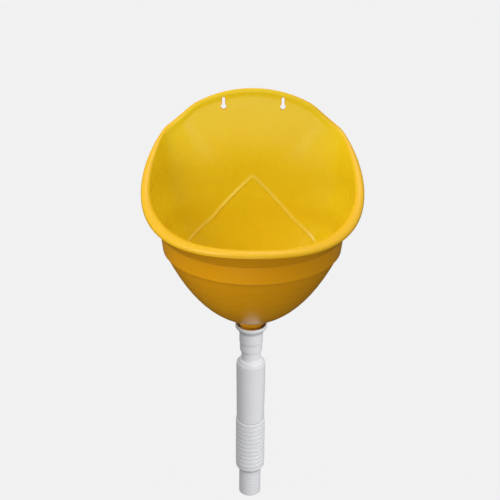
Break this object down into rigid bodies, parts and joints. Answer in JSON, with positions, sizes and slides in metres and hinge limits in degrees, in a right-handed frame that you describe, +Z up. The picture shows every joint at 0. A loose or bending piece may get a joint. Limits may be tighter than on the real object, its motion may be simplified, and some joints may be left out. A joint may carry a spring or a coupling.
{
  "type": "wall-hung drain bowl",
  "caption": "Wall-hung moulded catch bowl with a rolled rim, keyholed flat back and a bottom spigot, drained by a waste hose with a sleeve and pull-out bellows.",
  "frame": {"origin": "midway between the two keyholes, on the flat back that lies against the wall", "axes": "+X to the viewer's right, +Y into the wall, +Z up; the bowl opens toward -Y and up"},
  "size_m": [0.3246, 0.2553, 0.6693],
  "materials": {
    "yellow": "glossy moulded plastic with fine flow marks",
    "white": "satin moulded plastic",
    "sleeve": "satin blow-moulded plastic",
    "bellows": "satin ribbed plastic",
    "rubber": "matt grey rubber",
    "silicone": "milky silicone"
  },
  "bodies": {
    "bowl": {"bowl_shell": "yellow", "coupling_collar": "white", "spigot_gasket": "rubber", "union_washer": "rubber"},
    "strainer": {"drain_strainer": "white"},
    "slip": {"slip_ring": "white"},
    "nut": {"lock_ring": "white"},
    "hose": {"sleeve_cap": "white", "sleeve_oring": "rubber", "hose_sleeve": "sleeve", "valve_seat": "white", "odour_valve": "silicone", "bellows_upper": "bellows"},
    "hose_lower": {"bellows_lower": "bellows"},
    "tail": {"tail_cuff": "white"}
  },
  "joints": [
    {"name": "strainer_lift", "type": "slide", "parent": "bowl", "child": "strainer", "axis": [0, 0, 1], "range_m": [0, 0.06]},
    {"name": "lock_ring_drop", "type": "slide", "parent": "bowl", "child": "slip", "axis": [0, 0, -1], "range_m": [0, 0.008]},
    {"name": "lock_ring_turn", "type": "hinge", "parent": "slip", "child": "nut", "pos_m": [0, -0.098, -0.3615], "axis": [0, 0, -1], "range_deg": [0, 720]},
    {"name": "hose_swivel", "type": "hinge", "parent": "bowl", "child": "hose", "pos_m": [0, -0.098, -0.3615], "axis": [0, 0, 1], "continuous": true},
    {"name": "bellows_bend", "type": "hinge", "parent": "hose", "child": "hose_lower", "pos_m": [0, -0.098, -0.51777], "axis": [1, 0, 0], "range_deg": [-45, 45], "deforming": ["bellows_upper", "bellows_lower"]},
    {"name": "bellows_stretch", "type": "slide", "parent": "hose_lower", "child": "tail", "axis": [0, 0, -1], "range_m": [0, 0.072], "deforming": ["bellows_lower"]}
  ],
  "couplings": [
    {"joint": "lock_ring_drop", "follows": "lock_ring_turn", "m_per_rad": 0.00063662}
  ]
}
